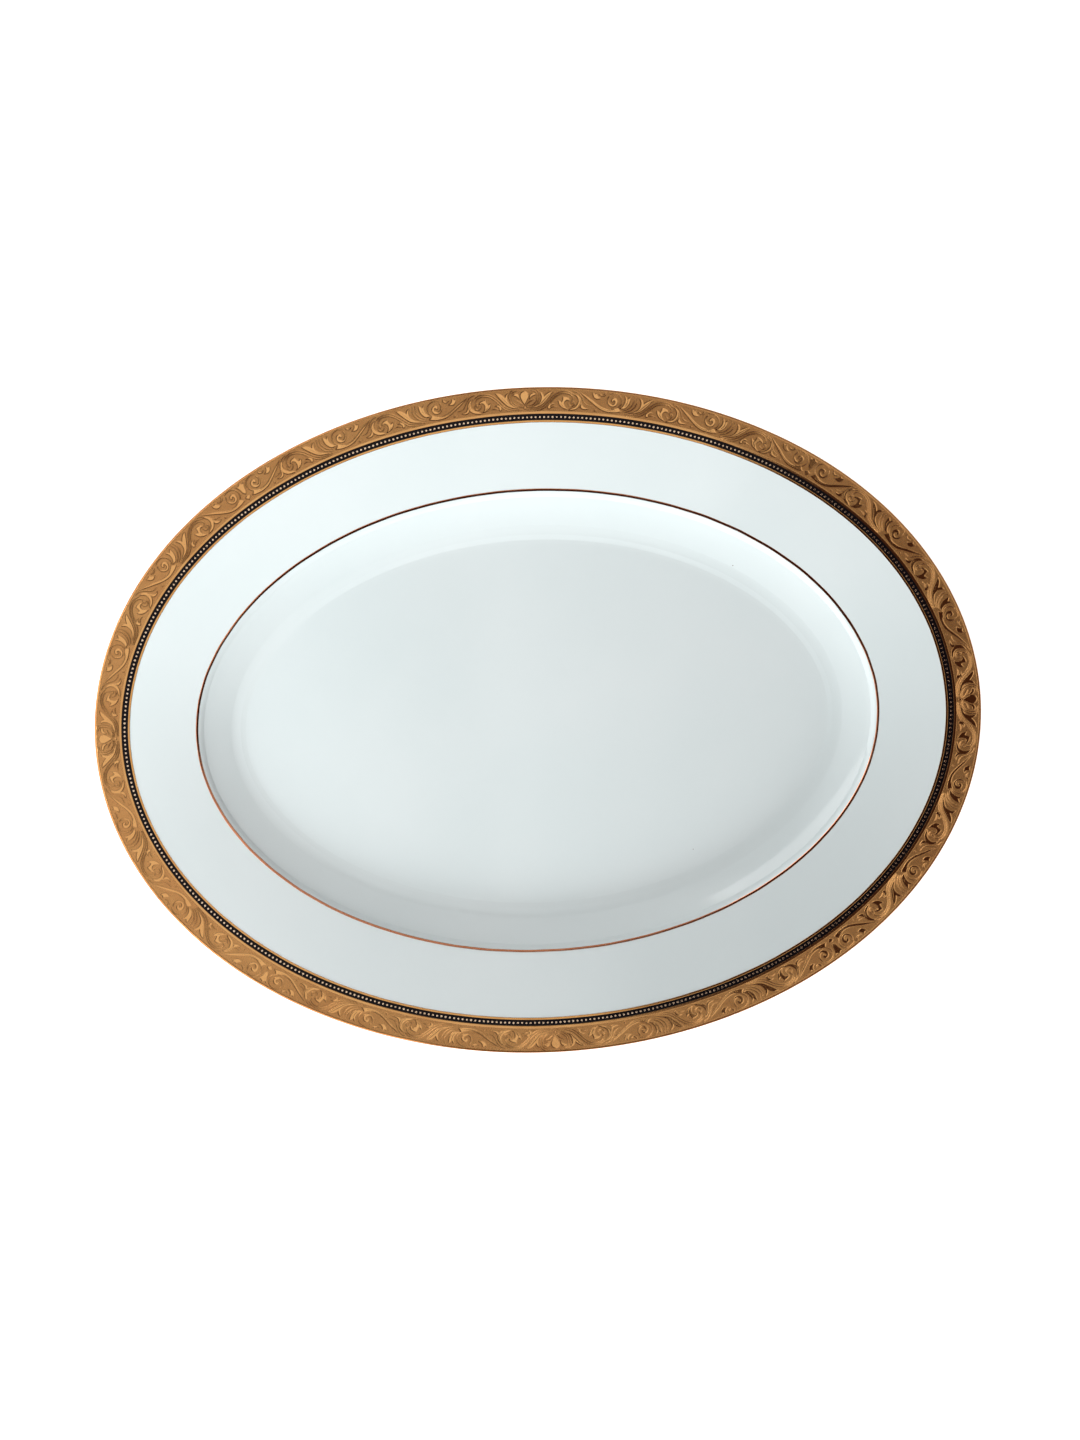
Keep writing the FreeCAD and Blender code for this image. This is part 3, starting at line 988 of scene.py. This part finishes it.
def build_floor():
    """A broad floor under the foot."""
    mesh = bpy.data.meshes.new("floor")
    signs = [(-1, -1), (1, -1), (1, 1), (-1, 1)]
    corners = [(x * FLOOR_REACH, y * FLOOR_REACH, 0) for x, y in signs]
    mesh.from_pydata(corners, [], [(0, 1, 2, 3)])
    mesh.materials.append(floor_material())
    floor = bpy.data.objects.new("floor", mesh)
    bpy.context.scene.collection.objects.link(floor)


def aim(obj, at, target, up):
    """Put an object at a place so that its -Z looks at the target and its Y leans to `up`."""
    back = (Vector(at) - Vector(target)).normalized()
    side = Vector(up).cross(back).normalized()
    true_up = back.cross(side)
    turn = Matrix((side, true_up, back)).transposed().to_4x4()
    obj.matrix_world = Matrix.Translation(at) @ turn


# Softboxes by name: where they stand, the point they face, width and height, and brightness.
# In metres. The brightness is the radiance of the box's face.
SOFTBOXES = {
    "left_low": ((-0.42, -0.06, 0.20), (0.0, 0.0, 0.03), (0.6, 0.26), 2.3),
    "left_mid": ((-0.58, 0.05, 0.48), (0.0, 0.0, 0.03), (0.7, 0.30), 1.25),
    "left_back": ((-0.36, 0.46, 0.45), (0.0, 0.0, 0.03), (0.5, 0.35), 2.35),
    "left_front": ((-0.36, -0.55, 0.30), (0.0, 0.0, 0.03), (0.5, 0.35), 3.4),
    "front_far": ((0.2, -2.0, 0.55), (0.0, 0.0, 0.0), (2.4, 0.9), 7.0),
    "overhead": ((0.36, 0.05, 1.4), (0.36, 0.05, 0.0), (0.66, 1.14), 0.87),
    "front_high": ((0.07, -0.47, 1.4), (0.07, -0.47, 0.0), (0.28, 0.28), 0.85),
    "left_high": ((-1.08, 0.25, 1.27), (0.0, 0.0, 0.0), (1.8, 0.66), 0.38),
    "back_high": ((0.55, 0.96, 1.27), (0.0, 0.0, 0.0), (2.3, 0.66), 0.50),
}

# Softboxes that light the china but aren't mirrored in it. This one is so low and strong that the
# rim would burn out to white when seen from behind.
UNMIRRORED = ("front_far",)
LIGHT_UP = (0, 0.05, 1)          # leans a little, so that it also serves a light that faces down
ROOM_TINT = (1.0, 0.45, 0.35, 1)
ROOM_GLOW = 0.05


def build_lights():
    """Softboxes to the left, in front, behind and above, in a dim warm room."""
    for name, (at, target, size, radiance) in SOFTBOXES.items():
        lamp = bpy.data.lights.new(name, "AREA")
        lamp.shape = "RECTANGLE"
        lamp.size, lamp.size_y = size
        lamp.energy = radiance * math.pi * size[0] * size[1]
        softbox = bpy.data.objects.new(name, lamp)
        bpy.context.scene.collection.objects.link(softbox)
        softbox.visible_glossy = name not in UNMIRRORED
        aim(softbox, at, target, LIGHT_UP)
    world = bpy.data.worlds.new("studio")
    world.use_nodes = True
    sky = world.node_tree.nodes["Background"]
    sky.inputs["Color"].default_value = ROOM_TINT
    sky.inputs["Strength"].default_value = ROOM_GLOW
    bpy.context.scene.world = world


PLATTER_TURN = math.radians(2.76)       # the long axis stands this far above level in the picture
CAMERA_LEAN = math.radians(3.6)         # off the vertical
CAMERA_SIDE = math.radians(217.5)       # the way it leans, round from +X
CAMERA_DISTANCE = 2.0                   # metres
SENSOR_WIDTH = 36                       # mm
VIEW_WIDTH = 0.4377                     # metres of the rim's plane across the picture
VIEW_CENTRE = (0.0001, -0.0004, 0.0255)


def build_camera():
    """Camera nearly overhead, with the platter's long axis across the picture."""
    data = bpy.data.cameras.new("camera")
    data.sensor_fit = "HORIZONTAL"
    data.sensor_width = SENSOR_WIDTH
    data.lens = SENSOR_WIDTH * CAMERA_DISTANCE / VIEW_WIDTH
    camera = bpy.data.objects.new("camera", data)
    bpy.context.scene.collection.objects.link(camera)
    target = Vector(VIEW_CENTRE)
    lean = math.sin(CAMERA_LEAN)
    way = Vector((math.cos(CAMERA_SIDE) * lean, math.sin(CAMERA_SIDE) * lean,
                  math.cos(CAMERA_LEAN)))
    up = (math.sin(PLATTER_TURN), math.cos(PLATTER_TURN), 0)
    aim(camera, target + way * CAMERA_DISTANCE, target, up)
    bpy.context.scene.camera = camera


# ---- the platter and its scene ----

def build_platter():
    """All pieces of the platter, from the body outward."""
    glaze = glaze_material()
    lip_gold = gold_material("lip_gold", (0.62, 0.30, 0.11), (0.52, 0.23, 0.08), 0.12, 0.24)
    line_gold = gold_material("line_gold", (0.74, 0.41, 0.155), (0.66, 0.34, 0.12), 0.07, 0.14)
    thin_gold = gold_material("thin_gold", (0.80, 0.37, 0.21), (0.70, 0.30, 0.165), 0.07, 0.14)
    bead_gold = gold_material("bead_gold", (0.86, 0.66, 0.46), (0.76, 0.55, 0.36), 0.10, 0.18)
    build_body(bisque_material())
    build_glaze(glaze)
    build_base_glaze(glaze)
    build_lip_gilding(lip_gold)
    build_lines(line_gold, thin_gold, enamel_material())
    build_beads(bead_gold)
    relief = draw_half_unit()
    etched = etched_material()
    for number in range(ETCHED_PIECES):
        etched_piece(number, relief, etched)


build_platter()
build_floor()
build_lights()
build_camera()
bpy.context.scene.view_settings.view_transform = "Standard"
